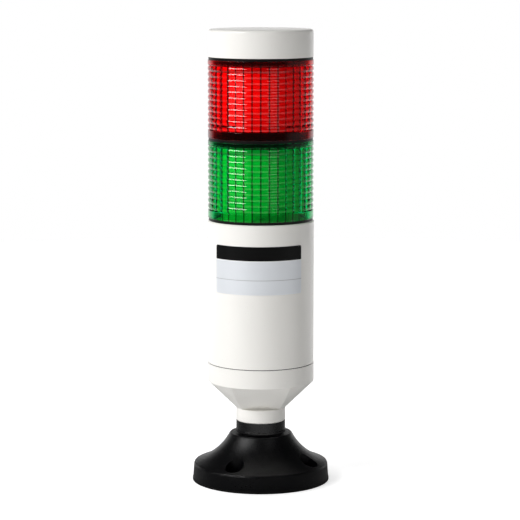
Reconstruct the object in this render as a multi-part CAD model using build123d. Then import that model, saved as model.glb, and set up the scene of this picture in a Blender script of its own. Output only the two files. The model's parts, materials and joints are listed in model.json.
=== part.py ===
"""Two-colour stack light on a flanged foot: a body tube, two ribbed lens modules and a cap.

Millimetres. The origin is the centre of the foot's underside, +Z runs up the stack and -Y is
the front, where the label is. Each function builds one piece, or one set of like pieces.
"""

from build123d import *
from math import cos, radians, sin
import os

# Clearances between pieces
seat_gap = 0.10          # side play of a piece that sits in another of the same body
root = 0.30              # depth by which a lug or hook runs into the wall that carries it
turn_gap = 0.40          # radial play where a module turns on the one below
lock_gap = 0.15          # play between a lug and the hook that it holds down
thread_play = 0.05       # radial play of the nuts on the nipple
past = 1.0               # by which a cutting shape runs past the face that it opens

# Foot
foot_r = 36.5            # at the gasket
gasket_over = 0.2        # by which the gasket shows round the foot
gasket_t = 1.0
gasket_land = 3.0        # between the screw holes and the gasket's opening
rim_draft = 0.5          # by which the rim is smaller at its top
rim_top_z = 9.8
rim_edge = 1.4           # rounding of the rim's upper edge
rim_land = 0.1           # flat between that edge and the sweep up to the shoulder
bell_sag = 2.18          # how far the sweep hangs below its chord
shoulder_r = 16.85
shoulder_z = 25.56
shoulder_edge = 0.5
foot_wall = 2.6
rim_inside_ease = 2.0    # slope between the rim's inside and the hollow's ceiling
deck_t = 3.4             # thickness under the shoulder
hub_wall = 2.25          # between the shoulder's edge and the top of the hollow
hole_inset = 7.5         # from the foot's edge to the circle of the screw holes
hole_count = 4
hole_first_deg = -118.4  # the foot was screwed on turned away from the label
hole_r = 2.5
counterbore_r = 5.0
counterbore_floor = 3.6  # left under a screw head
post_wall = 2.0
web_t = 1.6
web_low_z = 7.0
web_from_hub = 2.4       # from the top of the hollow to the webs

# Ring between the foot and the body's neck
ring_h = 6.74
ring_bead_out = 0.44
ring_bead_h = 1.4
ring_groove = 0.7

# Nipple with its nuts and washers
nipple_r = 8.0
cable_r = 5.6
nipple_end = 1.5         # thread that stands out past a nut
nipple_edge = 0.8
nut_inset = 0.1          # from a washer's edge to the nut's flats
nut_t = 5.0
washer_play = 0.15       # between a washer and the inside of the collar's flats
washer_t = 1.2

# Lower collar
neck_r = 13.16
neck_h = 7.11
neck_edge = 0.5
collar_over = 0.1        # by which the collar is wider than the body
cone_h = 14.85
collar_wall_h = 9.85
collar_wall = 2.2
collar_floor_t = 5.6     # above the top of the neck
flat_inset = 4.7         # how far each flat lies inside the neck's radius
spigot_wall = 1.6
spigot_h = 8.0
snap_count = 3
snap_deg = 14.0
snap_play_deg = 1.0
snap_out = 0.5
snap_h = 1.6
snap_z = 4.4             # above the seam

# Body
seam_t = 0.4
seam_seal_inset = 0.35
body_r = 28.3
body_h = 76.25
body_wall = 2.2
body_edge = 0.5
body_deck_t = 2.2
spigot_bore_wall = 1.4   # body wall around the collar's spigot
label_h = 25.5
label_down = 11.05       # from the body's top to the label's
label_from_deg = -144.9
label_to_deg = -41.8
label_t = 0.2
label_corner = 1.2

# Circuit board in the body, its parts and its pins
board_t = 1.6
board_head_gap = 3.45    # between the board's top and the body's deck
board_front_y = 4.0
board_side_play = 0.4    # between the board's back corners and the body
rail_t = 1.6
rail_depth = 4.4
rail_low = 9.0           # above the collar's spigot
terminal_size = (26.0, 11.0, 9.0)
terminal_up = 5.0
terminal_screw_r = 1.6
terminal_screw_h = 0.8
terminal_ways = 5
lead_hole = 2.4
lead_hole_y = 4.0        # behind the terminals' front
capacitor_r = 5.0
capacitor_h = 15.0
capacitor_up = 27.0
capacitor_x = -9.0
driver_size = (9.0, 3.0, 12.0)
driver_up = 26.0
driver_x = 9.0
pin_w = 0.8
pin_pitch = 3.0
pin_ways = 3
pin_grip = 7.0           # length of a feed pin along the board

# Twist lock between the modules
seal_inset = 0.4         # from the lens's side to the seal's
seal_wall = 1.3
seal_t = 1.5
lock_room = 3.9          # between a spigot and the lens round it
lock_wall = 1.8
lock_head = 1.0          # spigot above its lugs
lug_count = 3
lug_first_deg = -90.0
lug_deg = 16.0
lug_out = 1.8
lug_t = 1.35
hook_deg = 20.0
hook_low = 0.4           # above the foot of a lens or of the cap
hook_t = 1.6
stop_deg = 3.2
stop_play_deg = 0.8
stop_out = 1.4
wire_opening_r = 6.0

# Lens
lens_inset = 0.3         # from the body's side to the lens's
lens_h = 40.9
lens_wall = 3.1          # at the thickest of the flutes
band_h = 4.1             # plain band at the foot
rim_h = 2.47             # plain band at the top
groove_lead = 0.47       # height of the slope from each band to the first groove
rib_count = 11
rib_depth = 0.6
rib_land = 1.1           # flat on a rib's crest
flute_count = 36
flute_depth = 0.5

# Lock ring in the top of a lens
flange_t = 1.2
flange_gap = 0.2         # between the flange and the seal round it
ring_depth = 2.4
ring_wall = 1.8
ring_floor_t = 1.6
clamp_inset = 3.0        # from the light board's edge to the middle of a clamp
clamp_w = 5.0
clamp_depth = 4.5
clamp_wall = 1.4

# Light board of a module
light_board_inset = 4.0  # from the inside of the lock ring to the board's edge
light_board_low = 7.5    # above the lens's foot
led_columns = 2
led_rows = 5
led_inset = 10.0         # from the board's edge to the middle of the lights
led_margin = 1.0         # from the board's foot, and from the clamps, to the lights
led_size = 3.5
led_t = 1.6
plug_r = 15.0
plug_t = 2.0
contact_r = (5.0, 8.5, 12.0)
contact_w = 1.2
plate_t = 1.6

# Cap
cap_inset = 0.2          # from the lens's side to the cap's
cap_h = 14.55
cap_wall = 2.2
cap_top_t = 2.4
cap_edge = 1.4

# Heights worked out up the stack
web_ceiling_z = shoulder_z - deck_t
neck_z = shoulder_z + ring_h
cone_z = neck_z + neck_h
collar_wall_z = cone_z + cone_h
seam_z = collar_wall_z + collar_wall_h
body_z = seam_z + seam_t
body_top_z = body_z + body_h
collar_floor_z = cone_z + collar_floor_t
spigot_top_z = seam_z + spigot_h
board_top_z = body_top_z - body_deck_t - board_head_gap
lock_h = seal_t + hook_low + hook_t + lock_gap + lug_t + lock_head
module_pitch = seal_t + lens_h
green_z = body_top_z + seal_t
red_z = green_z + module_pitch
cap_z = red_z + module_pitch

# Radii worked out from the foot's and the body's
foot_top_r = foot_r - rim_draft
hub_r = shoulder_r - hub_wall
hole_circle_r = foot_r - hole_inset
collar_r = body_r + collar_over
lens_r = body_r - lens_inset
cap_r = lens_r - cap_inset
seal_r = lens_r - seal_inset
flute_crest_r = lens_r - lens_wall
spigot_r = flute_crest_r - lock_room
spigot_out_r = body_r - spigot_bore_wall - seat_gap
spigot_in_r = spigot_out_r - spigot_wall
body_bore_r = body_r - body_wall
plate_r = spigot_r - lock_wall - seat_gap
ring_out_r = flute_crest_r - seat_gap
ring_in_r = ring_out_r - ring_wall
cap_bore_r = cap_r - cap_wall
hook_in_r = spigot_r + turn_gap
light_board_half = ring_in_r - light_board_inset

# Slope of the cone, and the washers that fit between its flats
cone_slope = (collar_r - neck_r) / cone_h
cone_inset = collar_wall * (1 + cone_slope ** 2) ** 0.5
washer_r = neck_r - flat_inset - cone_inset + collar_floor_t * cone_slope - washer_play


def at(radius, degrees, z=0.0):
    """Point at a radius and an angle about the stack's axis."""
    return (radius * cos(radians(degrees)), radius * sin(radians(degrees)), z)


def evenly(count, first=0.0):
    """Angles of so many equal steps round the axis."""
    return [first + 360.0 * step / count for step in range(count)]


def eased(corner_r, corner_z, size):
    """Outer corner taken off by two short chamfers, as points from the side to the top."""
    inwards = size * (1 - cos(radians(45)))
    return [
        (corner_r, corner_z - size), (corner_r - inwards, corner_z - inwards),
        (corner_r - size, corner_z),
    ]


def turned(*outline):
    """Solid of revolution about Z from (radius, height) corners."""
    return revolve(Plane.XZ * make_face(Polyline(*outline, close=True)), Axis.Z)


def tube(outer, inner, low, high):
    """Plain ring about Z."""
    return turned((inner, low), (outer, low), (outer, high), (inner, high))


def rod(radius, low, high):
    """Plain cylinder on Z."""
    return turned((0, low), (radius, low), (radius, high), (0, high))


def block(x, y, z):
    """Box between two limits along each axis."""
    centre = ((x[0] + x[1]) / 2, (y[0] + y[1]) / 2, (z[0] + z[1]) / 2)
    return Pos(*centre) * Box(x[1] - x[0], y[1] - y[0], z[1] - z[0])


def sector(inner, outer, low, high, middle_deg, width_deg):
    """Block of a ring, width_deg wide about middle_deg."""
    start = middle_deg - width_deg / 2
    end = middle_deg + width_deg / 2
    outline = [
        ThreePointArc(at(outer, start), at(outer, middle_deg), at(outer, end)),
        Line(at(outer, end), at(inner, end)),
        ThreePointArc(at(inner, end), at(inner, middle_deg), at(inner, start)),
        Line(at(inner, start), at(outer, start)),
    ]
    return Pos(0, 0, low) * extrude(make_face(outline), high - low)


def hexagon_nut(low):
    """Thin hexagon nut on the nipple, with two flats facing front and back."""
    outside = extrude(RegularPolygon(washer_r - nut_inset, 6, major_radius=False), nut_t)
    return Pos(0, 0, low) * outside - rod(nipple_r + thread_play, low - past, low + nut_t + past)


def hole_places():
    """Middles of the four screw holes."""
    return [at(hole_circle_r, angle) for angle in evenly(hole_count, hole_first_deg)]


def foot_outline_solid():
    """Foot without its hollow: rim, rounded edge, swept bell and flat shoulder."""
    rim = eased(foot_top_r, rim_top_z, rim_edge)
    bell_low = (foot_top_r - rim_edge - rim_land, rim_top_z)
    shoulder_low = (shoulder_r, shoulder_z - shoulder_edge)
    outline = [
        Polyline((0, gasket_t), (foot_r, gasket_t), *rim, bell_low),
        SagittaArc(bell_low, shoulder_low, bell_sag),
        Polyline(shoulder_low, (shoulder_r - shoulder_edge, shoulder_z), (0, shoulder_z), (0, gasket_t)),
    ]
    return revolve(Plane.XZ * make_face(outline), Axis.Z)


def mounting_base():
    """Black foot, hollow beneath, with screw posts, webs and a deck that takes the nipple."""
    outside = foot_outline_solid()
    rim_in_r = foot_r - foot_wall
    ceiling_low_z = rim_top_z - foot_wall
    hollow = turned(
        (0, gasket_t - past), (rim_in_r, gasket_t - past), (rim_in_r, ceiling_low_z - rim_inside_ease),
        (rim_in_r - rim_inside_ease, ceiling_low_z), (hub_r, web_ceiling_z), (0, web_ceiling_z),
    )
    stiffening = []
    for angle in evenly(2 * hole_count, hole_first_deg):
        web = block((hub_r + web_from_hub, rim_in_r), (-web_t / 2, web_t / 2), (web_low_z, web_ceiling_z))
        stiffening.append(Rot(0, 0, angle) * web)
    for x, y, _ in hole_places():
        stiffening.append(Pos(x, y) * rod(counterbore_r + post_wall, gasket_t, web_ceiling_z))
    base = (outside - hollow) + [outside & piece for piece in stiffening]
    base -= rod(nipple_r + seat_gap, gasket_t, shoulder_z + past)
    for x, y, _ in hole_places():
        base -= Pos(x, y) * rod(hole_r, 0, shoulder_z)
        base -= Pos(x, y) * rod(counterbore_r, gasket_t + counterbore_floor, shoulder_z)
    return base


def base_gasket():
    """Thin sheet between the foot and what it stands on."""
    opening_r = hole_circle_r - hole_r - gasket_land
    sheet = tube(foot_r + gasket_over, opening_r, 0, gasket_t)
    for x, y, _ in hole_places():
        sheet -= Pos(x, y) * rod(hole_r, -past, gasket_t + past)
    return sheet


def neck_ring():
    """Black ring on the foot's shoulder, with a bead above its lower groove."""
    bead_z = shoulder_z + ring_groove
    bead_r = neck_r + ring_bead_out
    ease = ring_bead_out / 2
    return turned(
        (nipple_r + seat_gap, shoulder_z), (neck_r - ring_groove, shoulder_z),
        (neck_r - ring_groove, bead_z), (bead_r - ease, bead_z), (bead_r, bead_z + ease),
        (bead_r, bead_z + ring_bead_h - ring_bead_out), (neck_r, bead_z + ring_bead_h),
        (neck_r, neck_z), (nipple_r + seat_gap, neck_z),
    )


def threaded_nipple():
    """Tube that the nuts clamp foot, ring and collar on; the supply leads come up it."""
    low = web_ceiling_z - washer_t - nut_t - nipple_end
    high = collar_floor_z + washer_t + nut_t + nipple_end
    return turned(
        (cable_r, low), (nipple_r - nipple_edge, low), (nipple_r, low + nipple_edge),
        (nipple_r, high - nipple_edge), (nipple_r - nipple_edge, high), (cable_r, high),
    )


def lock_nuts():
    """Nut under the foot's deck and nut on the collar's floor."""
    return [
        hexagon_nut(web_ceiling_z - washer_t - nut_t),
        hexagon_nut(collar_floor_z + washer_t),
    ]


def lock_washers():
    """Washer between each nut and the plastic that it presses on."""
    inner = nipple_r + seat_gap
    return [
        tube(washer_r, inner, web_ceiling_z - washer_t, web_ceiling_z),
        tube(washer_r, inner, collar_floor_z, collar_floor_z + washer_t),
    ]


def beyond_flats(inset):
    """The space in front of and behind the cone's two flats, moved inwards by inset."""
    near = neck_r - flat_inset - inset
    far = 2 * collar_r
    outline = Polyline(
        (near, cone_z), (near + cone_h * cone_slope, collar_wall_z),
        (far, collar_wall_z), (far, cone_z), close=True,
    )
    front = extrude(Plane.YZ * make_face(outline), collar_r, both=True)
    return [front, mirror(front, Plane.XZ)]


def lower_collar():
    """White neck, cone with two flats, short wall and the spigot that the body snaps on."""
    shell = turned(
        (0, neck_z), (neck_r - neck_edge, neck_z), (neck_r, neck_z + neck_edge), (neck_r, cone_z),
        (collar_r, collar_wall_z), (collar_r, seam_z), (spigot_out_r, seam_z),
        (spigot_out_r, spigot_top_z), (0, spigot_top_z),
    )
    shell -= beyond_flats(0)
    floor_r = neck_r - cone_inset + collar_floor_t * cone_slope
    bore_z = collar_floor_z + (spigot_in_r - floor_r) / cone_slope
    cavity = turned(
        (0, collar_floor_z), (floor_r, collar_floor_z), (spigot_in_r, bore_z),
        (spigot_in_r, spigot_top_z + past), (0, spigot_top_z + past),
    )
    cavity -= beyond_flats(cone_inset)
    shell -= cavity
    shell -= rod(nipple_r + seat_gap, neck_z - past, collar_floor_z + past)
    low = seam_z + snap_z
    for angle in evenly(snap_count, 90):
        shell += sector(spigot_out_r - root, spigot_out_r + snap_out, low, low + snap_h, angle, snap_deg)
    return shell


def seam_seal():
    """Thin dark seal in the joint between collar and body."""
    return tube(body_r - seam_seal_inset, spigot_out_r + seat_gap, seam_z, body_z)


def twist_lock(joint_z):
    """Lugs and stops on a spigot that stands at joint_z, to be added to the piece below."""
    hook_top = joint_z + seal_t + hook_low + hook_t
    pieces = []
    for angle in evenly(lug_count, lug_first_deg):
        lug_z = hook_top + lock_gap
        pieces.append(sector(spigot_r - root, spigot_r + lug_out, lug_z, lug_z + lug_t, angle, lug_deg))
        stop_at = angle - hook_deg / 2 - stop_play_deg - stop_deg / 2
        stop = sector(
            spigot_r - root, spigot_r + stop_out, joint_z + flange_t, hook_top, stop_at, stop_deg
        )
        pieces.append(stop)
    return pieces


def twist_hooks(foot_z, wall_r):
    """Hooks inside the foot of a lens or of the cap, which turn in under the lugs below."""
    low = foot_z + hook_low
    return [
        sector(hook_in_r, wall_r + root, low, low + hook_t, angle, hook_deg)
        for angle in evenly(lug_count, lug_first_deg)
    ]


def body_housing():
    """White body tube with a deck, a lock spigot on it and rails for the circuit board."""
    socket_r = spigot_out_r + seat_gap
    socket_z = spigot_top_z + seat_gap
    deck_z = body_top_z - body_deck_t
    spigot_in = spigot_r - lock_wall
    body = turned(
        (socket_r, body_z), (body_r, body_z), (body_r, body_top_z - body_edge),
        (body_r - body_edge, body_top_z), (spigot_r, body_top_z), (spigot_r, body_top_z + lock_h),
        (spigot_in, body_top_z + lock_h), (spigot_in, body_top_z), (wire_opening_r, body_top_z),
        (wire_opening_r, deck_z), (body_bore_r, deck_z), (body_bore_r, socket_z),
        (socket_r, socket_z),
    )
    body += twist_lock(body_top_z)
    bore = rod(body_bore_r + body_wall / 2, spigot_top_z, deck_z + body_deck_t / 2)
    rail_z = (spigot_top_z + rail_low, deck_z + body_deck_t / 2)
    back_y = board_front_y + board_t
    rail_in = board_edge_x() - rail_depth + seat_gap
    for y in ((board_front_y - seat_gap - rail_t, board_front_y - seat_gap),
              (back_y + seat_gap, back_y + seat_gap + rail_t)):
        for x in ((rail_in, body_r), (-body_r, -rail_in)):
            body += bore & block(x, y, rail_z)
    low = seam_z + snap_z - seat_gap
    for angle in evenly(snap_count, 90):
        pocket_r = spigot_out_r + snap_out + seat_gap
        high = low + snap_h + 2 * seat_gap
        body -= sector(spigot_in_r, pocket_r, low, high, angle, snap_deg + snap_play_deg)
    return body


def front_label():
    """Thin wrapped label with rounded corners, on the front of the body."""
    low = body_top_z - label_down - label_h
    middle = (label_from_deg + label_to_deg) / 2
    width = label_to_deg - label_from_deg
    label = sector(body_r, body_r + label_t, low, low + label_h, middle, width)
    corners = label.edges().filter_by(lambda edge: abs(edge.length - label_t) < label_t / 10)
    return fillet(corners, label_corner)


def board_edge_x():
    """Half width of the circuit board, so that its back corners just clear the body's bore."""
    return ((body_bore_r - board_side_play) ** 2 - (board_front_y + board_t) ** 2) ** 0.5


def control_board():
    """Circuit board that stands in the body's rails on the collar's spigot."""
    half = board_edge_x()
    return block(
        (-half, half), (board_front_y, board_front_y + board_t), (spigot_top_z, board_top_z),
    )


def terminal_block():
    """Screw terminals for the supply leads, with a lead hole under each screw."""
    width, depth, height = terminal_size
    low = spigot_top_z + terminal_up
    front = board_front_y - depth
    body = block((-width / 2, width / 2), (front, board_front_y), (low, low + height))
    half = lead_hole / 2
    hole_y = (front + lead_hole_y - half, front + lead_hole_y + half)
    for x in terminal_places():
        body -= block((x - half, x + half), hole_y, (low - past, low + height / 2))
    return body


def terminal_places():
    """Middles of the terminals across the board."""
    step = terminal_size[0] / terminal_ways
    return [(way - (terminal_ways - 1) / 2) * step for way in range(terminal_ways)]


def terminal_screws():
    """One screw head on the front of each terminal."""
    front = board_front_y - terminal_size[1]
    height = spigot_top_z + terminal_up + terminal_size[2] / 2
    head = Rot(90, 0, 0) * rod(terminal_screw_r, 0, terminal_screw_h)
    return [Pos(x, front, height) * head for x in terminal_places()]


def board_components():
    """Smoothing capacitor and driver package on the front of the circuit board."""
    low = spigot_top_z + capacitor_up
    capacitor = Pos(capacitor_x, board_front_y - capacitor_r) * rod(capacitor_r, low, low + capacitor_h)
    width, depth, height = driver_size
    foot = spigot_top_z + driver_up
    driver = block(
        (driver_x - width / 2, driver_x + width / 2), (board_front_y - depth, board_front_y),
        (foot, foot + height),
    )
    return [capacitor, driver]


def feed_pins():
    """Pins from the circuit board up through the deck to the body's contact plate."""
    low = board_top_z - pin_grip
    pins = []
    for way in range(pin_ways):
        x = (way - (pin_ways - 1) / 2) * pin_pitch
        side = (x - pin_w / 2, x + pin_w / 2)
        pins.append(block(side, (board_front_y - pin_w, board_front_y), (low, body_top_z)))
    return pins


def contact_plate(joint_z):
    """Round circuit board inside a spigot, which the module above touches with its contacts."""
    return rod(plate_r, joint_z, joint_z + plate_t)


def seal(joint_z):
    """Black seal that a lens or the cap is pulled down on."""
    return tube(seal_r, seal_r - seal_wall, joint_z, joint_z + seal_t)


def lens(foot_z):
    """Clear lens: plain band, blunt ribs and a rim outside, upright flutes inside, and hooks."""
    groove_r = lens_r - rib_depth
    ribs_low = band_h + groove_lead
    ribs_high = lens_h - rim_h - groove_lead
    pitch = (ribs_high - ribs_low) / rib_count
    outline = [(0, 0), (lens_r, 0), (lens_r, band_h), (groove_r, ribs_low)]
    for rib in range(rib_count):
        crest = ribs_low + (rib + 0.5) * pitch
        outline += [(lens_r, crest - rib_land / 2), (lens_r, crest + rib_land / 2)]
        outline.append((groove_r, crest + pitch / 2))
    outline += [(lens_r, lens_h - rim_h), (lens_r, lens_h), (0, lens_h)]
    flute_cusp_r = flute_crest_r + flute_depth
    step = 360.0 / flute_count
    flutes = [
        ThreePointArc(
            at(flute_cusp_r, angle), at(flute_crest_r, angle + step / 2), at(flute_cusp_r, angle + step)
        )
        for angle in evenly(flute_count)
    ]
    shell = turned(*outline) - extrude(make_face(flutes), lens_h)
    return Pos(0, 0, foot_z) * shell + twist_hooks(foot_z, flute_cusp_r)


def lock_ring(top_z):
    """Black ring in the top of a lens: floor, tube down the lens and flange over its rim."""
    seat_r = spigot_r + seat_gap
    return turned(
        (wire_opening_r, top_z - ring_floor_t), (ring_in_r, top_z - ring_floor_t),
        (ring_in_r, top_z - ring_depth), (ring_out_r, top_z - ring_depth), (ring_out_r, top_z),
        (seal_r - seal_wall - flange_gap, top_z), (seal_r - seal_wall - flange_gap, top_z + flange_t),
        (seat_r, top_z + flange_t), (seat_r, top_z), (wire_opening_r, top_z),
    )


def lock_spigot(top_z):
    """Spigot on a lock ring's floor, with the lugs and stops for what comes next."""
    return tube(spigot_r, spigot_r - lock_wall, top_z, top_z + lock_h) + twist_lock(top_z)


def board_clamps(top_z):
    """Two pairs of jaws under a lock ring's floor, which hold the light board's top edge."""
    side = board_t / 2 + seat_gap
    middle = light_board_half - clamp_inset
    heights = (top_z - ring_floor_t - clamp_depth, top_z - ring_floor_t)
    return [
        block((x - clamp_w / 2, x + clamp_w / 2), y, heights)
        for x in (-middle, middle)
        for y in ((side, side + clamp_wall), (-side - clamp_wall, -side))
    ]


def light_board(foot_z):
    """Upright board with lights on both faces, held by the clamps at its top."""
    heights = (foot_z + light_board_low, foot_z + lens_h - ring_floor_t)
    return block((-light_board_half, light_board_half), (-board_t / 2, board_t / 2), heights)


def light_set(foot_z):
    """Square light emitters on both faces of a light board, spread between its foot and the clamps."""
    low = foot_z + light_board_low + led_margin
    high = foot_z + lens_h - ring_floor_t - clamp_depth - led_margin
    pitch_z = (high - low - led_size) / (led_rows - 1)
    reach = light_board_half - led_inset
    pitch_x = 2 * reach / (led_columns - 1)
    face = board_t / 2
    lights = []
    for row in range(led_rows):
        z = low + row * pitch_z
        for column in range(led_columns):
            x = column * pitch_x - reach
            for y in ((-face - led_t, -face), (face, face + led_t)):
                lights.append(block((x - led_size / 2, x + led_size / 2), y, (z, z + led_size)))
    return lights


def contact_plug(foot_z):
    """Disc on the foot of a light board that carries its contacts."""
    top = foot_z + light_board_low
    return rod(plug_r, top - plug_t, top)


def contact_pins(foot_z):
    """Contacts of a module, down to the contact plate below."""
    high = foot_z + light_board_low - plug_t
    low = foot_z - seal_t + plate_t
    half = contact_w / 2
    return [block((r - half, r + half), (-half, half), (low, high)) for r in contact_r]


def top_cap():
    """White cap with an eased edge and hooks inside its foot."""
    top_z = cap_z + cap_h
    inner_top = top_z - cap_top_t
    shell = turned(
        (cap_bore_r, cap_z), (cap_r, cap_z), *eased(cap_r, top_z, cap_edge), (0, top_z),
        (0, inner_top), (cap_bore_r, inner_top),
    )
    return shell + twist_hooks(cap_z, cap_bore_r)


def module(colour, foot_z):
    """The pieces of one light module, by name."""
    top_z = foot_z + lens_h
    return {
        colour + "_lens": lens(foot_z),
        colour + "_lock_ring": lock_ring(top_z),
        colour + "_lock_spigot": lock_spigot(top_z),
        colour + "_board_clamps": board_clamps(top_z),
        colour + "_contact_plate": contact_plate(top_z),
        colour + "_light_board": light_board(foot_z),
        colour + "_lights": light_set(foot_z),
        colour + "_contact_plug": contact_plug(foot_z),
        colour + "_contact_pins": contact_pins(foot_z),
    }


def stack_light():
    """Every piece of the stack light, by name."""
    pieces = {
        "base_gasket": base_gasket(),
        "mounting_base": mounting_base(),
        "neck_ring": neck_ring(),
        "threaded_nipple": threaded_nipple(),
        "lock_nuts": lock_nuts(),
        "lock_washers": lock_washers(),
        "lower_collar": lower_collar(),
        "seam_seal": seam_seal(),
        "body_housing": body_housing(),
        "front_label": front_label(),
        "control_board": control_board(),
        "terminal_block": terminal_block(),
        "terminal_screws": terminal_screws(),
        "board_components": board_components(),
        "feed_pins": feed_pins(),
        "body_contact_plate": contact_plate(body_top_z),
        "lower_seal": seal(body_top_z),
        "middle_seal": seal(green_z + lens_h),
        "upper_seal": seal(red_z + lens_h),
        "top_cap": top_cap(),
    }
    pieces.update(module("green", green_z))
    pieces.update(module("red", red_z))
    return pieces


os.makedirs("parts", exist_ok=True)
for name, shape in stack_light().items():
    solids = shape if isinstance(shape, list) else [shape]
    export_step(Compound(label=name, children=solids), f"parts/{name}.step")
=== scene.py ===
"""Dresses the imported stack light: lens modules, cap, finishes, studio and camera.

The pieces' sizes are in millimetres in their classes and become metres in their meshes. The
studio's are in metres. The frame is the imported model's: +Z up the stack, -Y towards the front,
where the label is.
"""

import json
import logging
import math
from collections.abc import Callable, Sequence
from dataclasses import dataclass, field
from enum import Enum

import bpy
from mathutils import Matrix, Vector

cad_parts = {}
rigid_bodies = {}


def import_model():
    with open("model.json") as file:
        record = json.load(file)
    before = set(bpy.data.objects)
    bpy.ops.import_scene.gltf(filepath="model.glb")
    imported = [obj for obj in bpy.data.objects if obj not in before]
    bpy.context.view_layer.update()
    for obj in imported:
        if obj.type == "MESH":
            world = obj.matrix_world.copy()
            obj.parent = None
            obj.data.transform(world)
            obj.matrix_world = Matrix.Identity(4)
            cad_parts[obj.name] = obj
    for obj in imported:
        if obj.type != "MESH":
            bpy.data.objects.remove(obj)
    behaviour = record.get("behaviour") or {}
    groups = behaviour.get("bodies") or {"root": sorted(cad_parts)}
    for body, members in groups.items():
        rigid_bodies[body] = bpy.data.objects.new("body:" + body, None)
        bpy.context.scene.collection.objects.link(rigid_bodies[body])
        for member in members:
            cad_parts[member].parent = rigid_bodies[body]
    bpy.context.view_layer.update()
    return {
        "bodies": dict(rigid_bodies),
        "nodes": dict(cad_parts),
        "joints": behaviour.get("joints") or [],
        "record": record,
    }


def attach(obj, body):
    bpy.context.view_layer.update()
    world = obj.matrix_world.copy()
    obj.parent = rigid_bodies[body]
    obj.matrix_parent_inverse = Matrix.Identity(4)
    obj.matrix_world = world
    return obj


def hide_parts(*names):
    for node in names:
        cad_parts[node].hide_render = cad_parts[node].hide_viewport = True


LOG = logging.getLogger("stack_light")
MM = 0.001
GREEN_FOOT = 142.26
RED_FOOT = 184.66
SAME_CORNER = 0.01
SAME_POINT = 0.001
SAME_SPUN_POINT = 0.002
SMOOTH_DEG = 30

Colour = tuple[float, float, float]
Place = tuple[float, float, float]
Point = tuple[float, float]
Range = tuple[float, float]
WHITE: Colour = (1.0, 1.0, 1.0)
EVEN: Place = (1.0, 1.0, 1.0)
SocketInput = "float | int | tuple | Value | bpy.types.NodeSocket | None"


# Shader maths


class Value:
    """A number that may vary over a surface, with the usual operators."""

    def __init__(self, nodes: "Nodes", socket: bpy.types.NodeSocket) -> None:
        """Wraps one output socket.

        Args:
            nodes: The tree that the socket belongs to.
            socket: The output that carries the number.
        """
        self.nodes = nodes
        self.socket = socket

    def _math(self, operation: str, *terms: SocketInput) -> "Value":
        """Adds a Math node.

        Args:
            operation: The node's operation.
            terms: Its inputs in order.

        Returns:
            The result.
        """
        settings = {"operation": operation}
        node = self.nodes.add("ShaderNodeMath", settings, dict(enumerate(terms)))
        return Value(self.nodes, node.outputs[0])

    def __add__(self, other: SocketInput) -> "Value":
        """Returns self + other."""
        return self._math("ADD", self, other)

    def __radd__(self, other: SocketInput) -> "Value":
        """Returns other + self."""
        return self._math("ADD", other, self)

    def __sub__(self, other: SocketInput) -> "Value":
        """Returns self - other."""
        return self._math("SUBTRACT", self, other)

    def __rsub__(self, other: SocketInput) -> "Value":
        """Returns other - self."""
        return self._math("SUBTRACT", other, self)

    def __mul__(self, other: SocketInput) -> "Value":
        """Returns self * other."""
        return self._math("MULTIPLY", self, other)

    def __rmul__(self, other: SocketInput) -> "Value":
        """Returns other * self."""
        return self._math("MULTIPLY", other, self)

    def __truediv__(self, other: SocketInput) -> "Value":
        """Returns self / other."""
        return self._math("DIVIDE", self, other)

    def at_least(self, other: SocketInput) -> "Value":
        """Returns the larger of the two."""
        return self._math("MAXIMUM", self, other)

    def above(self, other: SocketInput) -> "Value":
        """Returns 1 where self is larger than other, else 0."""
        return self._math("GREATER_THAN", self, other)

    def size(self) -> "Value":
        """Returns the number without its sign."""
        return self._math("ABSOLUTE", self)

    def root(self) -> "Value":
        """Returns the square root."""
        return self._math("SQRT", self)

    def cycle(self, period: float) -> "Value":
        """Returns the place within each period, from 0 up to the period."""
        return self._math("FLOORED_MODULO", self, period)

    def angle_to(self, other: "Value") -> "Value":
        """Returns atan2(self, other) in radians."""
        return self._math("ARCTAN2", self, other)

    def ramp(self, low: float, high: float) -> "Value":
        """Goes smoothly from 0 at low to 1 at high.

        Args:
            low: Where the result is 0.
            high: Where the result is 1; it may be less than low.

        Returns:
            The eased step.
        """
        if high < low:
            return 1 - self.ramp(high, low)
        settings = {"interpolation_type": "SMOOTHSTEP"}
        node = self.nodes.add("ShaderNodeMapRange", settings, {0: self, 1: low, 2: high})
        return Value(self.nodes, node.outputs[0])


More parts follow.
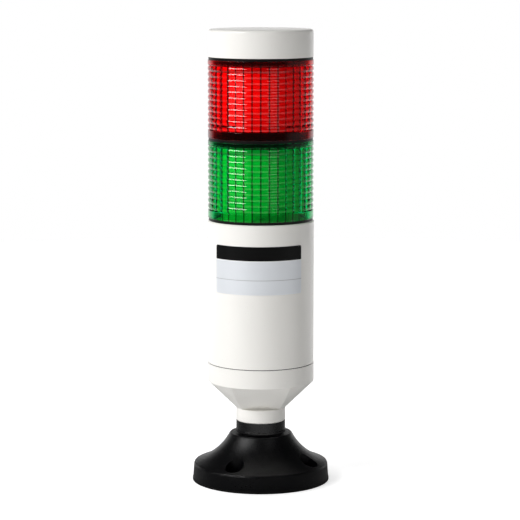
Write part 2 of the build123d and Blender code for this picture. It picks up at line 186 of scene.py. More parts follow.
class Nodes:
    """A node tree, with one method that makes any node."""

    def __init__(self, tree: bpy.types.NodeTree) -> None:
        """Takes the tree over and empties it.

        Args:
            tree: The tree of a material or of the world.
        """
        self.tree = tree
        tree.nodes.clear()

    def add(
        self, kind: str, settings: dict | None = None, inputs: dict | None = None
    ) -> bpy.types.Node:
        """Makes one node.

        Args:
            kind: The node's type.
            settings: Its properties, set first.
            inputs: Numbers, colours or links of its sockets, by name or by number.

        Returns:
            The node.
        """
        node = self.tree.nodes.new(kind)
        for name, value in (settings or {}).items():
            setattr(node, name, value)
        for key, value in (inputs or {}).items():
            if isinstance(value, Value):
                value = value.socket
            if isinstance(value, bpy.types.NodeSocket):
                self.tree.links.new(value, node.inputs[key])
            elif value is not None:
                node.inputs[key].default_value = self._fitted(value)
        return node

    @staticmethod
    def _fitted(value: float | tuple) -> float | tuple:
        """Returns a colour of three numbers with its alpha, and anything else as it is."""
        is_colour = isinstance(value, tuple) and len(value) == 3
        return (*value, 1.0) if is_colour else value

    def position(self) -> tuple[Value, Value, Value]:
        """Returns X, Y and Z on the object, in millimetres."""
        separate = self.add("ShaderNodeSeparateXYZ", None, {0: self.place()})
        return tuple(Value(self, socket) / MM for socket in separate.outputs)

    def place(self) -> bpy.types.NodeSocket:
        """Returns the object coordinates, in metres."""
        return self.add("ShaderNodeTexCoord").outputs["Object"]

    def noise(self, grain: float, layers: float = 2.0, stretch: Place = EVEN) -> Value:
        """Makes a cloudy pattern.

        Args:
            grain: Size of its blotches, in millimetres.
            layers: Number of finer layers.
            stretch: Scale along each axis.

        Returns:
            The pattern, about 0.5 in the middle.
        """
        scaled = self.add(
            "ShaderNodeVectorMath", {"operation": "MULTIPLY"}, {0: self.place()}
        )
        scaled.inputs[1].default_value = stretch
        node = self.add(
            "ShaderNodeTexNoise", None,
            {"Vector": scaled.outputs[0], "Scale": 1 / (grain * MM), "Detail": layers},
        )
        return Value(self, node.outputs[0])

    def mix(
        self, factor: SocketInput, first: SocketInput, second: SocketInput
    ) -> bpy.types.NodeSocket:
        """Mixes two colours.

        Args:
            factor: 0 gives the first colour, 1 the second.
            first: Colour or link.
            second: Colour or link.

        Returns:
            The mixed colour.
        """
        settings = {"data_type": "RGBA"}
        return self.add("ShaderNodeMix", settings, {0: factor, 6: first, 7: second}).outputs[2]

    def bump(self, height: Value, depth: float) -> bpy.types.NodeSocket:
        """Turns a height pattern into a normal.

        Args:
            height: Pattern from 0 to 1.
            depth: Height of 1, in millimetres.

        Returns:
            The normal.
        """
        inputs = {"Strength": 1.0, "Distance": depth * MM, "Height": height}
        return self.add("ShaderNodeBump", None, inputs).outputs[0]


@dataclass(frozen=True)
class Finish:
    """A material made of nodes; each kind of finish fills in its channels."""

    name: str

    def channels(self, nodes: Nodes) -> dict:
        """Gives the Principled sockets' values and links; each finish has its own.

        Args:
            nodes: The material's tree.

        Returns:
            The values and links by socket.
        """
        raise NotImplementedError

    def material(self) -> bpy.types.Material:
        """Makes the material the first time it is asked for.

        Returns:
            The material.
        """
        made = bpy.data.materials.get(self.name)
        if made is None:
            made = bpy.data.materials.new(self.name)
            made.use_nodes = True
            nodes = Nodes(made.node_tree)
            nodes.add("ShaderNodeOutputMaterial", None, {"Surface": self.surface(nodes)})
        return made

    def surface(self, nodes: Nodes) -> bpy.types.NodeSocket:
        """Returns the shader that the channels make."""
        return nodes.add("ShaderNodeBsdfPrincipled", None, self.channels(nodes)).outputs[0]

    def dress(self, *pieces: bpy.types.Object) -> None:
        """Gives the finish to every slot of the pieces.

        Args:
            pieces: Mesh objects.
        """
        for piece in pieces:
            if not piece.material_slots:
                piece.data.materials.append(None)
            for slot in piece.material_slots:
                slot.material = self.material()


@dataclass(frozen=True)
class MouldedPlastic(Finish):
    """Solid moulded plastic, from gloss to spark-eroded texture.

    Cloud and grain are the sizes of two patterns in millimetres, and their dulling is how far
    each changes the roughness. Mottle is how far the clouds change the colour.
    """

    colour: Colour
    roughness: float
    grain: float
    grain_depth: float
    mottle: float = 0.03
    coat: float = 0.0
    gloss: float = 0.5
    coat_roughness: float = 0.08
    cloud: float = 14.0
    cloud_layers: float = 3.0
    cloud_dulling: float = 0.08
    grain_layers: float = 1.0
    grain_dulling: float = 0.20

    def channels(self, nodes: Nodes) -> dict:
        """Faint clouds in the colour and gloss, and the mould's grain as relief.

        Args:
            nodes: The material's tree.

        Returns:
            The values and links by socket.
        """
        clouds = nodes.noise(self.cloud, self.cloud_layers)
        darker = tuple(part * (1 - 2 * self.mottle) for part in self.colour)
        grain = nodes.noise(self.grain, self.grain_layers)
        dulling = self.cloud_dulling * (clouds - 0.5) + self.grain_dulling * (grain - 0.5)
        return {
            "Base Color": nodes.mix(clouds, self.colour, darker),
            "Roughness": self.roughness + dulling,
            "Normal": nodes.bump(grain, self.grain_depth),
            "Coat Weight": self.coat,
            "Coat Roughness": self.coat_roughness,
            "Specular IOR Level": self.gloss,
        }


@dataclass(frozen=True)
class ClearPlastic(Finish):
    """Clear coloured polycarbonate, with shade painted into its colour in its inside corners, in
    its grooves, at its rim and at its foot band.

    A shade with a number is how dark the painted shade of its stretch is, from 0 to 1. Heights are
    above the foot and radii from the axis, in millimetres.
    """

    colour: Colour
    deep: Colour
    shade: Colour
    foot: float
    band_shade: float
    rim_shade: float
    band_h: float = 3.9
    rim_h: float = 39.2
    inside_r: float = 25.6
    outside_r: float = 26.6
    groove_r: float = 27.4
    groove_shade: float = 0.55
    line_deg: float = 10.0
    line_half_deg: float = 1.3
    line_share: float = 0.03
    soft_edge: float = 0.1
    flow: float = 9.0
    flow_stretch: Place = (1.0, 1.0, 0.3)
    wave_depth: float = 0.002
    roughness: float = 0.02
    flow_dulling: float = 0.03
    refraction: float = 1.45

    def channels(self, nodes: Nodes) -> dict:
        """Faint flow marks in the colour, painted shade in dark stretches, and a polished mould's
        waviness.

        Args:
            nodes: The material's tree.

        Returns:
            The values and links by socket.
        """
        flow = nodes.noise(self.flow, stretch=self.flow_stretch)
        x, y, z = nodes.position()
        turn = y.angle_to(x) * math.degrees(1) + self.line_deg / 2
        off_corner = (turn.cycle(self.line_deg) - self.line_deg / 2).size()
        radius = (x * x + y * y).root()
        soft = self.soft_edge
        inside = radius.ramp(self.inside_r, self.inside_r - soft)
        # Painted shade: dark lines in the inside corners of the flutes, dark grooves between the
        # ribs, a dark top rim and a dark foot band.
        corner = off_corner.ramp(self.line_half_deg, self.line_half_deg / 2) * inside
        groove = radius.above(self.outside_r) * radius.ramp(self.groove_r + 2 * soft, self.groove_r)
        rim = z.ramp(self.foot + self.rim_h - 2 * soft, self.foot + self.rim_h + 2 * soft)
        band = z.ramp(self.foot + self.band_h + soft, self.foot + self.band_h - soft)
        rims = (rim * self.rim_shade).at_least(band * self.band_shade)
        # The painted shade is the darkest of these stretches, mixed into the colour below.
        painted_shade = corner.at_least(groove * self.groove_shade).at_least(rims)
        dark = tuple(part * self.line_share for part in self.colour)
        return {
            "Base Color": nodes.mix(painted_shade, nodes.mix(flow, self.colour, self.deep), dark),
            "Roughness": self.roughness + self.flow_dulling * flow,
            "IOR": self.refraction,
            "Transmission Weight": 1.0,
            "Normal": nodes.bump(flow, self.wave_depth),
        }

    def surface(self, nodes: Nodes) -> bpy.types.NodeSocket:
        """Lets the lamps' light through to what stands inside, in the plastic's colour.

        Args:
            nodes: The material's tree.

        Returns:
            The shader.
        """
        clear = nodes.add("ShaderNodeBsdfTransparent", None, {"Color": self.shade}).outputs[0]
        for_shadow = nodes.add("ShaderNodeLightPath").outputs["Is Shadow Ray"]
        inputs = {0: for_shadow, 1: super().surface(nodes), 2: clear}
        return nodes.add("ShaderNodeMixShader", None, inputs).outputs[0]


@dataclass(frozen=True)
class FrostedPlastic(Finish):
    """Milky plastic that spreads the light."""

    colour: Colour
    cloud: float = 8.0
    pale_share: float = 0.96
    roughness: float = 0.5
    cloud_dulling: float = 0.1
    grain: float = 0.3
    grain_layers: float = 1.0
    grain_depth: float = 0.01

    def channels(self, nodes: Nodes) -> dict:
        """Faint clouds of pigment and an eroded surface.

        Args:
            nodes: The material's tree.

        Returns:
            The values and links by socket.
        """
        clouds = nodes.noise(self.cloud)
        grain = nodes.noise(self.grain, self.grain_layers)
        paler = tuple(part * self.pale_share for part in self.colour)
        return {
            "Base Color": nodes.mix(clouds, self.colour, paler),
            "Roughness": self.roughness + self.cloud_dulling * clouds,
            "Normal": nodes.bump(grain, self.grain_depth),
        }


@dataclass(frozen=True)
class Metal(Finish):
    """Plated or brushed metal."""

    colour: Colour
    roughness: float
    mark: float = 0.4
    mark_stretch: Place = (1.0, 1.0, 6.0)
    mark_dulling: float = 0.15
    mark_depth: float = 0.01
    bloom: float = 4.0
    bloom_share: float = 0.8

    def channels(self, nodes: Nodes) -> dict:
        """Fine turning marks and a duller bloom here and there.

        Args:
            nodes: The material's tree.

        Returns:
            The values and links by socket.
        """
        marks = nodes.noise(self.mark, stretch=self.mark_stretch)
        bloom = nodes.noise(self.bloom)
        dull = tuple(part * self.bloom_share for part in self.colour)
        return {
            "Base Color": nodes.mix(bloom, self.colour, dull),
            "Metallic": 1.0,
            "Roughness": self.roughness + self.mark_dulling * (marks - 0.5),
            "Normal": nodes.bump(marks, self.mark_depth),
        }


@dataclass(frozen=True)
class CircuitBoard(Finish):
    """Solder mask over copper tracks."""

    mask: Colour
    track: Colour
    pitch: float = 2.4
    drift: float = 0.4
    drift_length: float = 18.0
    track_edge: Range = (0.42, 0.30)
    track_depth: float = 0.03
    roughness: float = 0.38
    speckle: float = 1.0
    speckle_dulling: float = 0.15

    def channels(self, nodes: Nodes) -> dict:
        """Tracks that run up the board, drawn as slightly raised lighter lines.

        Args:
            nodes: The material's tree.

        Returns:
            The values and links by socket.
        """
        x, y, _ = nodes.position()
        drift = self.drift * nodes.noise(self.drift_length)
        lane = ((x + y + drift).cycle(self.pitch) - self.pitch / 2).size()
        line = lane.ramp(*self.track_edge)
        return {
            "Base Color": nodes.mix(line, self.mask, self.track),
            "Roughness": self.roughness + self.speckle_dulling * (nodes.noise(self.speckle) - 0.5),
            "Normal": nodes.bump(line, self.track_depth),
        }


@dataclass(frozen=True)
class Emitter(Finish):
    """Light emitter: a pale yellow filling in clear resin."""

    pale: Colour = (0.92, 0.88, 0.60)
    deep: Colour = (0.90, 0.80, 0.42)
    cloud: float = 0.8
    roughness: float = 0.25
    cloud_dulling: float = 0.2
    coat: float = 0.5

    def channels(self, nodes: Nodes) -> dict:
        """Clouds of phosphor in clear resin.

        Args:
            nodes: The material's tree.

        Returns:
            The values and links by socket.
        """
        clouds = nodes.noise(self.cloud)
        return {
            "Base Color": nodes.mix(clouds, self.pale, self.deep),
            "Roughness": self.roughness + self.cloud_dulling * clouds,
            "Coat Weight": self.coat,
        }


@dataclass(frozen=True)
class LabelFilm(Finish):
    """Silver film with a black head band and a rule; it carries no words.

    Heights are above the floor. An edge holds the two ends of a soft step in millimetres.
    """

    radius: float = 28.5
    middle_deg: float = -93.35
    half_deg: float = 51.55
    high: float = 129.71
    band_low: float = 122.15
    rule: float = 111.9
    corner: float = 1.2
    border: float = 0.08
    band_edge: Range = (0.06, -0.06)
    outline_edge: Range = (0.35, 0.25)
    rule_edge: Range = (0.22, 0.10)
    rule_ink: float = 0.6
    silver: Colour = (0.92, 0.95, 0.99)
    dull_silver: Colour = (0.88, 0.91, 0.95)
    rule_colour: Colour = (0.36, 0.37, 0.38)
    outline_colour: Colour = (0.90, 0.90, 0.90)
    band_colour: Colour = (0.002, 0.002, 0.002)
    shimmer: float = 30.0
    shimmer_stretch: Place = (1.0, 1.0, 0.2)
    metal: float = 0.38
    gloss: float = 0.2
    roughness: float = 0.40
    band_polish: float = 0.09
    speckle: float = 0.25
    layers: float = 1.0
    speckle_dulling: float = 0.1
    speckle_depth: float = 0.004

    def channels(self, nodes: Nodes) -> dict:
        """Bands by height, with the head band inset by a pale border and rounded above.

        Args:
            nodes: The material's tree.

        Returns:
            The values and links by socket.
        """
        x, y, z = nodes.position()
        turn = math.radians(self.middle_deg)
        across = x * -math.sin(turn) + y * math.cos(turn)
        outwards = x * math.cos(turn) + y * math.sin(turn)
        arc = across.angle_to(outwards) * self.radius
        half_arc = math.radians(self.half_deg) * self.radius - self.border
        inner = self.corner - self.border / 2
        middle = (self.band_low + self.high - self.border) / 2
        half_height = (self.high - self.border - self.band_low) / 2
        over_x = (arc.size() - (half_arc - inner)).at_least(0)
        over_z = ((z - middle) - (half_height - inner)).at_least(0)
        under = (middle - half_height) - z
        edge = ((over_x * over_x + over_z * over_z).root() - inner).at_least(under)
        band = edge.ramp(*self.band_edge)
        outline = edge.ramp(*self.outline_edge) * (1 - band)
        shimmer = nodes.noise(self.shimmer, self.layers, self.shimmer_stretch)
        silver = nodes.mix(shimmer, self.silver, self.dull_silver)
        rule = (z - self.rule).size().ramp(*self.rule_edge)
        ruled = nodes.mix(rule * self.rule_ink, silver, self.rule_colour)
        framed = nodes.mix(outline, ruled, self.outline_colour)
        speckle = nodes.noise(self.speckle, self.layers)
        dulling = self.speckle_dulling * speckle - self.band_polish * band
        return {
            "Base Color": nodes.mix(band, framed, self.band_colour),
            "Metallic": self.metal * (1 - band) * (1 - outline),
            "Roughness": self.roughness + dulling,
            "Specular IOR Level": self.gloss,
            "Normal": nodes.bump(speckle, self.speckle_depth),
        }


WHITE_ABS = MouldedPlastic(
    "white_abs", (0.90, 0.884, 0.845), roughness=0.32,
    grain=0.6, grain_depth=0.003, mottle=0.01, coat=0.25,
)
BLACK_GRAINED = MouldedPlastic(
    "black_grained", (0.0010, 0.0010, 0.0016), roughness=0.31,
    grain=0.55, grain_depth=0.13, mottle=0.1, gloss=0.25,
)
BLACK_SMOOTH = MouldedPlastic(
    "black_smooth", (0.002, 0.002, 0.0026), roughness=0.26,
    grain=0.5, grain_depth=0.010, mottle=0.1,
)
BLACK_RUBBER = MouldedPlastic(
    "black_rubber", (0.003, 0.003, 0.003), roughness=0.42,
    grain=0.3, grain_depth=0.008, mottle=0.1, gloss=0.3,
)
TERMINAL_GREEN = MouldedPlastic(
    "terminal_green", (0.05, 0.26, 0.12), roughness=0.45, grain=0.4, grain_depth=0.01
)
DARK_RESIN = MouldedPlastic(
    "dark_resin", (0.03, 0.03, 0.045), roughness=0.4, grain=0.3, grain_depth=0.01
)
GREEN_CLEAR = ClearPlastic(
    "green_polycarbonate", colour=(0.001, 0.68, 0.18), deep=(0.001, 0.64, 0.15),
    shade=(0.1, 0.85, 0.3), foot=GREEN_FOOT, band_shade=0.4, rim_shade=0.8,
)
RED_CLEAR = ClearPlastic(
    "red_polycarbonate", colour=(1.0, 0.001, 0.008), deep=(0.97, 0.001, 0.006),
    shade=(1.0, 0.1, 0.1), foot=RED_FOOT, band_shade=0.85, rim_shade=0.6,
)
MILKY = FrostedPlastic("milky_sleeve", (0.96, 0.96, 0.95))
ZINC = Metal("zinc_plate", (0.66, 0.67, 0.70), roughness=0.34)
GOLD = Metal("gold_flash", (0.80, 0.60, 0.26), roughness=0.25)
GREEN_BOARD = CircuitBoard("green_solder_mask", mask=(0.012, 0.12, 0.045), track=(0.03, 0.22, 0.08))
WHITE_BOARD = CircuitBoard("white_solder_mask", mask=(0.86, 0.86, 0.84), track=(0.74, 0.74, 0.70))
EMITTER = Emitter("emitter_resin")
LABEL_FILM = LabelFilm("printed_film")


# Modelling


def nothing_selected() -> None:
    """Leaves edit mode and deselects every object."""
    if bpy.context.mode != "OBJECT":
        bpy.ops.object.mode_set(mode="OBJECT")
    bpy.ops.object.select_all(action="DESELECT")


def choose(piece: bpy.types.Object, test: Callable[[Vector], bool]) -> None:
    """Selects in edit mode the points that pass a test, and the edges and faces between them.

    Args:
        piece: Object in edit mode.
        test: Takes a point in millimetres.
    """
    bpy.ops.mesh.select_mode(type="VERT")
    bpy.ops.mesh.select_all(action="DESELECT")
    bpy.ops.object.mode_set(mode="OBJECT")
    for vertex in piece.data.vertices:
        vertex.select = test(vertex.co / MM)
    bpy.ops.object.mode_set(mode="EDIT")


def drawn(name: str, outline: Sequence[Point]) -> bpy.types.Object:
    """Draws a closed outline in the XZ plane, by extruding one point along it.

    Args:
        name: The new object's name.
        outline: Radius and height of each corner, in millimetres.

    Returns:
        The object, in edit mode with all of the outline selected.
    """
    nothing_selected()
    first = Vector((outline[0][0], 0, outline[0][1])) * MM
    bpy.ops.mesh.primitive_plane_add(size=MM, location=first)
    piece = bpy.context.object
    piece.name = name
    bpy.ops.object.transform_apply(location=True)
    bpy.ops.object.mode_set(mode="EDIT")
    bpy.ops.mesh.merge(type="CENTER")
    here = outline[0]
    for corner in [*outline[1:], outline[0]]:
        step = Vector((corner[0] - here[0], 0, corner[1] - here[1])) * MM
        bpy.ops.mesh.extrude_region_move(TRANSFORM_OT_translate={"value": step})
        here = corner
    bpy.ops.mesh.select_all(action="SELECT")
    bpy.ops.mesh.remove_doubles(threshold=SAME_POINT * MM)
    return piece


def round_corners(
    piece: bpy.types.Object, rounds: Sequence[tuple[float, Sequence[Point]]], segments: int
) -> None:
    """Rounds corners of a drawn outline.

    Args:
        piece: Outline in edit mode.
        rounds: Width of each rounding and the corners that take it, in millimetres.
        segments: Steps in each rounding.
    """
    for width, points in rounds:
        choose(piece, lambda p: any(
            abs(p.x - r) < SAME_CORNER and abs(p.z - h) < SAME_CORNER for r, h in points
        ))
        bpy.ops.mesh.bevel(offset=width * MM, segments=segments, affect="VERTICES")
    bpy.ops.mesh.select_all(action="SELECT")


def spun(piece: bpy.types.Object, steps: int) -> None:
    """Spins a drawn outline once round Z and closes it.

    Args:
        piece: Outline in edit mode, all selected.
        steps: Number of steps round the axis.
    """
    bpy.ops.mesh.spin(steps=steps, angle=math.tau, center=(0, 0, 0), axis=(0, 0, 1))
    bpy.ops.mesh.select_all(action="SELECT")
    bpy.ops.mesh.remove_doubles(threshold=SAME_SPUN_POINT * MM)
    bpy.ops.mesh.normals_make_consistent(inside=False)


def finished(piece: bpy.types.Object, finish: Finish, body: str, slot: str, *nodes: str) -> None:
    """Smooths and dresses a piece and ties it to the frame.

    Args:
        piece: The new piece.
        finish: Its finish.
        body: CAD body that it moves with.
        slot: Material slot of the record; not used.
        nodes: CAD nodes that it stands for.
    """
    nothing_selected()
    piece.select_set(True)
    bpy.context.view_layer.objects.active = piece
    bpy.ops.object.shade_smooth_by_angle(angle=math.radians(SMOOTH_DEG))
    finish.dress(piece)
    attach(piece, body)
    if nodes:
        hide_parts(*nodes)
    LOG.info("%s: %d faces, rides on %s", piece.name, len(piece.data.polygons), body)


# Sub-assemblies


class LensColour(Enum):
    """The two lens colours of the stack."""

    GREEN = "green"
    RED = "red"

    @property
    def finish(self) -> ClearPlastic:
        """Returns the lens's finish."""
        return {LensColour.GREEN: GREEN_CLEAR, LensColour.RED: RED_CLEAR}[self]


@dataclass
class LensModule:
    """Ribbed and fluted lens with what shows through it."""

    colour: LensColour
    foot: float
    frame: dict
    side_r: float = 28.0
    height: float = 40.9
    wall: float = 3.1
    band_h: float = 4.1
    rim_h: float = 2.47
    groove_lead: float = 0.47
    rib_count: int = 11
    rib_depth: float = 0.6
    rib_land: float = 0.90
    rib_slope_h: float = 0.72
    rib_slope_in: float = 0.335
    rib_round: float = 0.15
    rim_round: float = 0.25
    round_steps: int = 2
    flute_count: int = 36
    flute_depths: tuple[float, ...] = (0.45, 0.25, 0.11, 0.03)
    flute_low: float = 5.2
    flute_high: float = 38.6
    flute_lead: float = 0.3
    pick: float = 0.05
    sleeve_r: float = 21.7
    sleeve_wall: float = 0.8
    sleeve_low: float = 4.9
    sleeve_high: float = 39.3
    sleeve_round: float = 0.2
    sleeve_steps: int = 96
    body: str = field(init=False)

    def __post_init__(self) -> None:
        """Names the body that the module rides on."""
        self.body = f"{self.colour.value}_module"

    @property
    def lens_name(self) -> str:
        """Returns the lens piece's name."""
        return f"{self.colour.value}_lens_ribbed"

    def outline(self) -> tuple[list[Point], list[Point]]:
        """Works out the wall's section.

        Returns:
            All corners, and those corners that are rounded.
        """
        inner = self.side_r - self.wall
        groove = self.side_r - self.rib_depth
        shoulder = self.side_r - self.rib_slope_in
        low = self.foot + self.band_h + self.groove_lead
        high = self.foot + self.height - self.rim_h - self.groove_lead
        pitch = (high - low) / self.rib_count
        ribs: list[Point] = [(self.side_r, self.foot + self.band_h), (groove, low)]
        rounded: list[Point] = [ribs[0]]
        for rib in range(self.rib_count):
            crest = low + (rib + 0.5) * pitch
            reach = self.rib_land / 2 + self.rib_slope_h
            bead = [
                (shoulder, crest - reach), (self.side_r, crest - self.rib_land / 2),
                (self.side_r, crest + self.rib_land / 2), (shoulder, crest + reach),
            ]
            rounded += bead
            ribs += [*bead, (groove, crest + pitch / 2)]
        rounded.append((self.side_r, self.foot + self.height - self.rim_h))
        ribs.append(rounded[-1])
        top = self.foot + self.height
        inside = [
            (inner, top), (inner, self.foot + self.flute_high + self.flute_lead),
            (inner, self.foot + self.flute_high), (inner, self.foot + self.flute_low),
            (inner, self.foot + self.flute_low - self.flute_lead),
        ]
        under = [(inner, self.foot), (self.side_r, self.foot)]
        return [*under, *ribs, (self.side_r, top), *inside], rounded

    def build_lens(self) -> bpy.types.Object:
        """Spins the wall's section and presses the flutes into its inside.

        Returns:
            The lens.
        """
        outline, rounded = self.outline()
        lens = drawn(self.lens_name, outline)
        rims = [outline[1], (self.side_r, self.foot + self.height)]
        round_corners(lens, [(self.rib_round, rounded), (self.rim_round, rims)], self.round_steps)
        half = len(self.flute_depths)
        steps = self.flute_count * 2 * half
        spun(lens, steps)
        inner = self.side_r - self.wall
        low, high = self.flute_low - 2 * self.pick, self.flute_high + 2 * self.pick
        for step, depth in enumerate(self.flute_depths):
            places = {step, 2 * half - step}
            choose(lens, lambda p: p.xy.length < inner + self.pick
                   and low < p.z - self.foot < high
                   and round(math.atan2(p.y, p.x) / math.tau * steps) % (2 * half) in places)
            factor = (inner + depth) / inner
            bpy.ops.transform.resize(value=(factor, factor, 1), center_override=(0, 0, 0))
        self.finish_lens(lens)
        return lens

    def copy_lens(self, other: bpy.types.Object, rise: float) -> bpy.types.Object:
        """Takes the other module's lens over, with a mesh of its own.

        Args:
            other: The lens to copy.
            rise: How much higher this one is, in millimetres.

        Returns:
            The lens.
        """
        lens = bpy.data.objects.new(self.lens_name, other.data.copy())
        lens.data.transform(Matrix.Translation((0, 0, rise * MM)))
        bpy.context.scene.collection.objects.link(lens)
        self.finish_lens(lens)
        return lens

    def finish_lens(self, lens: bpy.types.Object) -> None:
        """Dresses the lens, keeps its facets' gloss even, and puts it in its node's place.

        Args:
            lens: The new lens.
        """
        colour = self.colour.value
        finished(lens, self.colour.finish, self.body, f"{colour}_clear", f"{colour}_lens")
        lens.modifiers.new("even_facets", "WEIGHTED_NORMAL").keep_sharp = True
        bpy.ops.object.modifier_apply(modifier="even_facets")

    def build_sleeve(self) -> bpy.types.Object:
        """Spins the milky sleeve that stands round the light board.

        Returns:
            The sleeve.
        """
        low, high = self.foot + self.sleeve_low, self.foot + self.sleeve_high
        inner = self.sleeve_r - self.sleeve_wall
        outline = [(inner, low), (self.sleeve_r, low), (self.sleeve_r, high), (inner, high)]
        sleeve = drawn(f"{self.colour.value}_sleeve", outline)
        round_corners(sleeve, [(self.sleeve_round, outline)], self.round_steps)
        spun(sleeve, self.sleeve_steps)
        finished(sleeve, MILKY, self.body, "white_plastic")
        return sleeve

    def dress_inside(self) -> None:
        """Gives the CAD pieces inside the lens their finishes."""
        looks = {
            "lock_ring": BLACK_SMOOTH, "lock_spigot": BLACK_SMOOTH, "board_clamps": BLACK_SMOOTH,
            "contact_plug": BLACK_SMOOTH, "contact_plate": GREEN_BOARD, "light_board": WHITE_BOARD,
            "lights": EMITTER, "contact_pins": GOLD,
        }
        for part, finish in looks.items():
            name = f"{self.colour.value}_{part}"
            finish.dress(self.frame["nodes"][name])
            LOG.info("%s on %s", finish.name, name)


@dataclass
class Cap:
    """White cap with a rounded edge."""

    foot: float = 227.06
    side_r: float = 27.8
    height: float = 14.55
    wall: float = 2.2
    top_wall: float = 2.4
    edge: float = 1.5
    foot_edge: float = 0.3
    round_steps: int = 5
    spin_steps: int = 180

    def build(self) -> bpy.types.Object:
        """Spins the cap's section.

        Returns:
            The cap.
        """
        top = self.foot + self.height
        inner = self.side_r - self.wall
        outline = [
            (inner, self.foot), (self.side_r, self.foot), (self.side_r, top), (0, top),
            (0, top - self.top_wall), (inner, top - self.top_wall),
        ]
        cap = drawn("cap_rounded", outline)
        rounds = [(self.edge, [outline[2]]), (self.foot_edge, [outline[0], outline[1]])]
        round_corners(cap, rounds, self.round_steps)
        spun(cap, self.spin_steps)
        finished(cap, WHITE_ABS, "cap", "white_plastic", "top_cap")
        return cap


@dataclass
class Column:
    """Foot, neck, collar, body tube, label and seals: CAD pieces that get their finishes."""

    frame: dict

    def dress(self) -> None:
        """Gives each CAD piece its finish."""
        looks = {
            BLACK_RUBBER: ["base_gasket", "seam_seal", "lower_seal", "middle_seal", "upper_seal"],
            BLACK_GRAINED: ["mounting_base"],
            BLACK_SMOOTH: ["neck_ring"],
            WHITE_ABS: ["lower_collar", "body_housing"],
            ZINC: ["threaded_nipple", "lock_nuts", "lock_washers", "terminal_screws"],
            LABEL_FILM: ["front_label"],
            GREEN_BOARD: ["control_board", "body_contact_plate"],
            TERMINAL_GREEN: ["terminal_block"],
            DARK_RESIN: ["board_components"],
            GOLD: ["feed_pins"],
        }
        for finish, names in looks.items():
            finish.dress(*(self.frame["nodes"][name] for name in names))
            LOG.info("%s on %s", finish.name, ", ".join(names))


# Studio


@dataclass(frozen=True)
class Softbox:
    """A rectangular lamp that faces the middle of the object, with its sizes in metres.

    Its azimuth is 0 in front of the object and grows towards +X.
    """

    name: str
    azimuth_deg: float
    elevation_deg: float
    distance: float
    width: float
    height: float
    watts: float

    def place(self, target: Vector) -> None:
        """Puts the lamp up.

        Args:
            target: Point that it faces.
        """
        turn, rise = math.radians(self.azimuth_deg), math.radians(self.elevation_deg)
        away = Vector((
            math.sin(turn) * math.cos(rise), -math.cos(turn) * math.cos(rise), math.sin(rise)
        ))
        data = bpy.data.lights.new(self.name, "AREA")
        data.shape = "RECTANGLE"
        data.size, data.size_y = self.width, self.height
        data.energy = self.watts
        lamp = bpy.data.objects.new(self.name, data)
        lamp.location = target + away * self.distance
        lamp.rotation_euler = away.to_track_quat("Z", "Y").to_euler()
        bpy.context.scene.collection.objects.link(lamp)


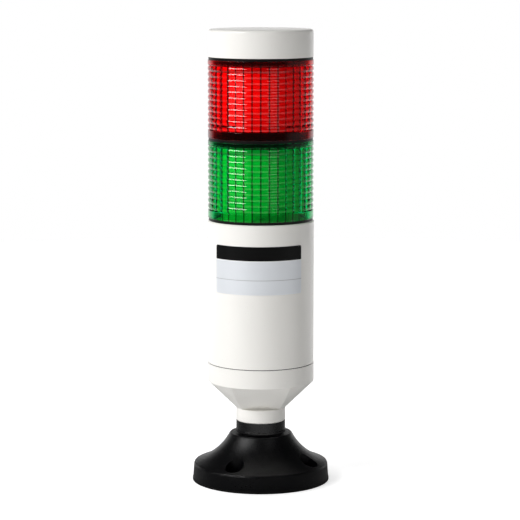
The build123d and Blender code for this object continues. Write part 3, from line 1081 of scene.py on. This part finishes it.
@dataclass
class Studio:
    """Pale floor, white surround, softboxes and the camera, with their sizes in metres.

    A range says where a ramp starts and ends: in millimetres on the floor where its name ends
    in _mm, and otherwise as a share of a ray's direction along the axis.
    """

    floor_r: float = 1.0
    floor_sides: int = 96
    floor_tone: Colour = (0.90, 0.90, 0.90)
    floor_tone_in_gloss: Colour = (0.18, 0.18, 0.18)
    floor_glow: float = 0.52
    floor_lift: float = 0.30
    lift_mm: Range = (120.0, -120.0)
    floor_sheen: float = 0.04
    far_sheen: float = 0.80
    far_mm: Range = (60.0, 320.0)
    front_sheen: float = 0.75
    front_mm: Range = (-90.0, -112.0)
    front_end_mm: Range = (-450.0, -350.0)
    ambient: float = 0.05
    from_low: float = 1.05
    low_azimuth_deg: float = -58.0
    low_top: Range = (0.70, 0.20)
    low_sides: Range = (-0.2, 0.9)
    from_behind: float = 1.4
    behind_sides: Range = (0.0, 0.9)
    overhead: float = 0.03
    backdrop_top: Range = (0.28, 0.06)
    backdrop_sides: Range = (0.50, 0.85)
    gloss_right: float = 0.20
    right_top: Range = (0.6, 0.2)
    right_sides: Range = (0.75, 1.0)
    lit_point: Place = (0.0, 0.0, 0.12)
    softboxes: tuple[Softbox, ...] = (
        Softbox(
            "key_softbox", azimuth_deg=-60, elevation_deg=38, distance=2.4,
            width=1.72, height=0.46, watts=32.0,
        ),
        Softbox(
            "fill_softbox", azimuth_deg=32, elevation_deg=42, distance=2.4,
            width=1.0, height=0.40, watts=2.6,
        ),
    )
    camera_place: Place = (-0.0004, -1.136, 0.2793)
    camera_pitch_deg: float = -8.035
    camera_lens: float = 148.9
    camera_sensor: float = 36.0
    camera_near: float = 0.01

    def seen(self, nodes: Nodes) -> tuple[Value, Value]:
        """Sorts out the rays that show the backdrop, so that it doesn't light dull surfaces.

        Args:
            nodes: The tree to add to.

        Returns:
            1 for rays straight from the camera or through glass, and 1 for those off gloss.
        """
        path = nodes.add("ShaderNodeLightPath")
        kinds = ("Is Camera Ray", "Is Glossy Ray", "Is Transmission Ray", "Diffuse Depth")
        camera, glossy, through, scattered = (Value(nodes, path.outputs[kind]) for kind in kinds)
        sharp = 1 - scattered.above(0.5)
        direct = camera.at_least(through * sharp)
        return direct, glossy * sharp * (1 - direct)

    def light_world(self) -> None:
        """Makes a surround that is white to look at and a soft light from low and behind."""
        world = bpy.data.worlds.new("studio_surround")
        world.use_nodes = True
        bpy.context.scene.world = world
        nodes = Nodes(world.node_tree)
        direct, glossy = self.seen(nodes)
        direction = nodes.add("ShaderNodeTexCoord").outputs["Generated"]
        split = nodes.add("ShaderNodeSeparateXYZ", None, {0: direction})
        width, depth, height = (Value(nodes, socket) for socket in split.outputs)
        turn = math.radians(self.low_azimuth_deg)
        towards = width * math.sin(turn) - depth * math.cos(turn)
        backdrop = height.ramp(*self.backdrop_top) * depth.ramp(*self.backdrop_sides)
        beside = height.size().ramp(*self.right_top) * width.ramp(*self.right_sides)
        in_gloss = self.overhead + (1 - self.overhead) * backdrop + self.gloss_right * beside
        around = (
            self.ambient
            + self.from_low * height.size().ramp(*self.low_top) * towards.ramp(*self.low_sides)
            + self.from_behind * depth.ramp(*self.behind_sides)
        )
        strength = direct + glossy * in_gloss + (1 - direct) * (1 - glossy) * around
        shine = nodes.add("ShaderNodeBackground", None, {"Color": WHITE, "Strength": strength})
        nodes.add("ShaderNodeOutputWorld", None, {"Surface": shine.outputs[0]})

    def lay_floor(self) -> None:
        """Lays the pale floor, which keeps the object's shadow."""
        nothing_selected()
        bpy.ops.mesh.primitive_circle_add(
            vertices=self.floor_sides, radius=self.floor_r, fill_type="NGON"
        )
        floor = bpy.context.object
        floor.name = "studio_floor"
        material = bpy.data.materials.new("studio_floor")
        material.use_nodes = True
        nodes = Nodes(material.node_tree)
        direct, glossy = self.seen(nodes)
        tone = nodes.mix(glossy, self.floor_tone, self.floor_tone_in_gloss)
        paper = nodes.add("ShaderNodeBsdfDiffuse", None, {"Color": tone})
        width, depth, _ = nodes.position()
        front = depth.ramp(*self.front_mm) * depth.ramp(*self.front_end_mm)
        behind = depth.ramp(*self.far_mm)
        sheen = self.floor_sheen + self.far_sheen * behind + self.front_sheen * front
        lift = self.floor_lift * width.ramp(*self.lift_mm) * (1 - direct) * (1 - glossy)
        strength = direct * self.floor_glow + glossy * sheen + lift
        glow = nodes.add("ShaderNodeEmission", None, {"Color": WHITE, "Strength": strength})
        both = nodes.add("ShaderNodeAddShader", None, {0: paper.outputs[0], 1: glow.outputs[0]})
        nodes.add("ShaderNodeOutputMaterial", None, {"Surface": both.outputs[0]})
        floor.data.materials.append(material)

    def place_camera(self) -> None:
        """Puts the camera where the photograph was taken from."""
        data = bpy.data.cameras.new("camera")
        data.lens = self.camera_lens
        data.sensor_width = self.camera_sensor
        data.clip_start = self.camera_near
        camera = bpy.data.objects.new("camera", data)
        camera.location = self.camera_place
        camera.rotation_euler = (math.radians(90 + self.camera_pitch_deg), 0, 0)
        bpy.context.scene.collection.objects.link(camera)
        bpy.context.scene.camera = camera

    def build(self) -> None:
        """Sets the whole studio up."""
        bpy.context.scene.view_settings.view_transform = "Standard"
        self.light_world()
        self.lay_floor()
        for softbox in self.softboxes:
            softbox.place(Vector(self.lit_point))
        self.place_camera()
        LOG.info("studio: %d softboxes", len(self.softboxes))


def main() -> None:
    """Builds and dresses every piece in order."""
    logging.basicConfig(level=logging.INFO, format="%(message)s")
    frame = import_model()
    Studio().build()
    Column(frame).dress()
    green = LensModule(LensColour.GREEN, GREEN_FOOT, frame)
    red = LensModule(LensColour.RED, RED_FOOT, frame)
    red.copy_lens(green.build_lens(), red.foot - green.foot)
    for module in (green, red):
        module.build_sleeve()
        module.dress_inside()
    Cap().build()


if __name__ == "__main__":
    main()
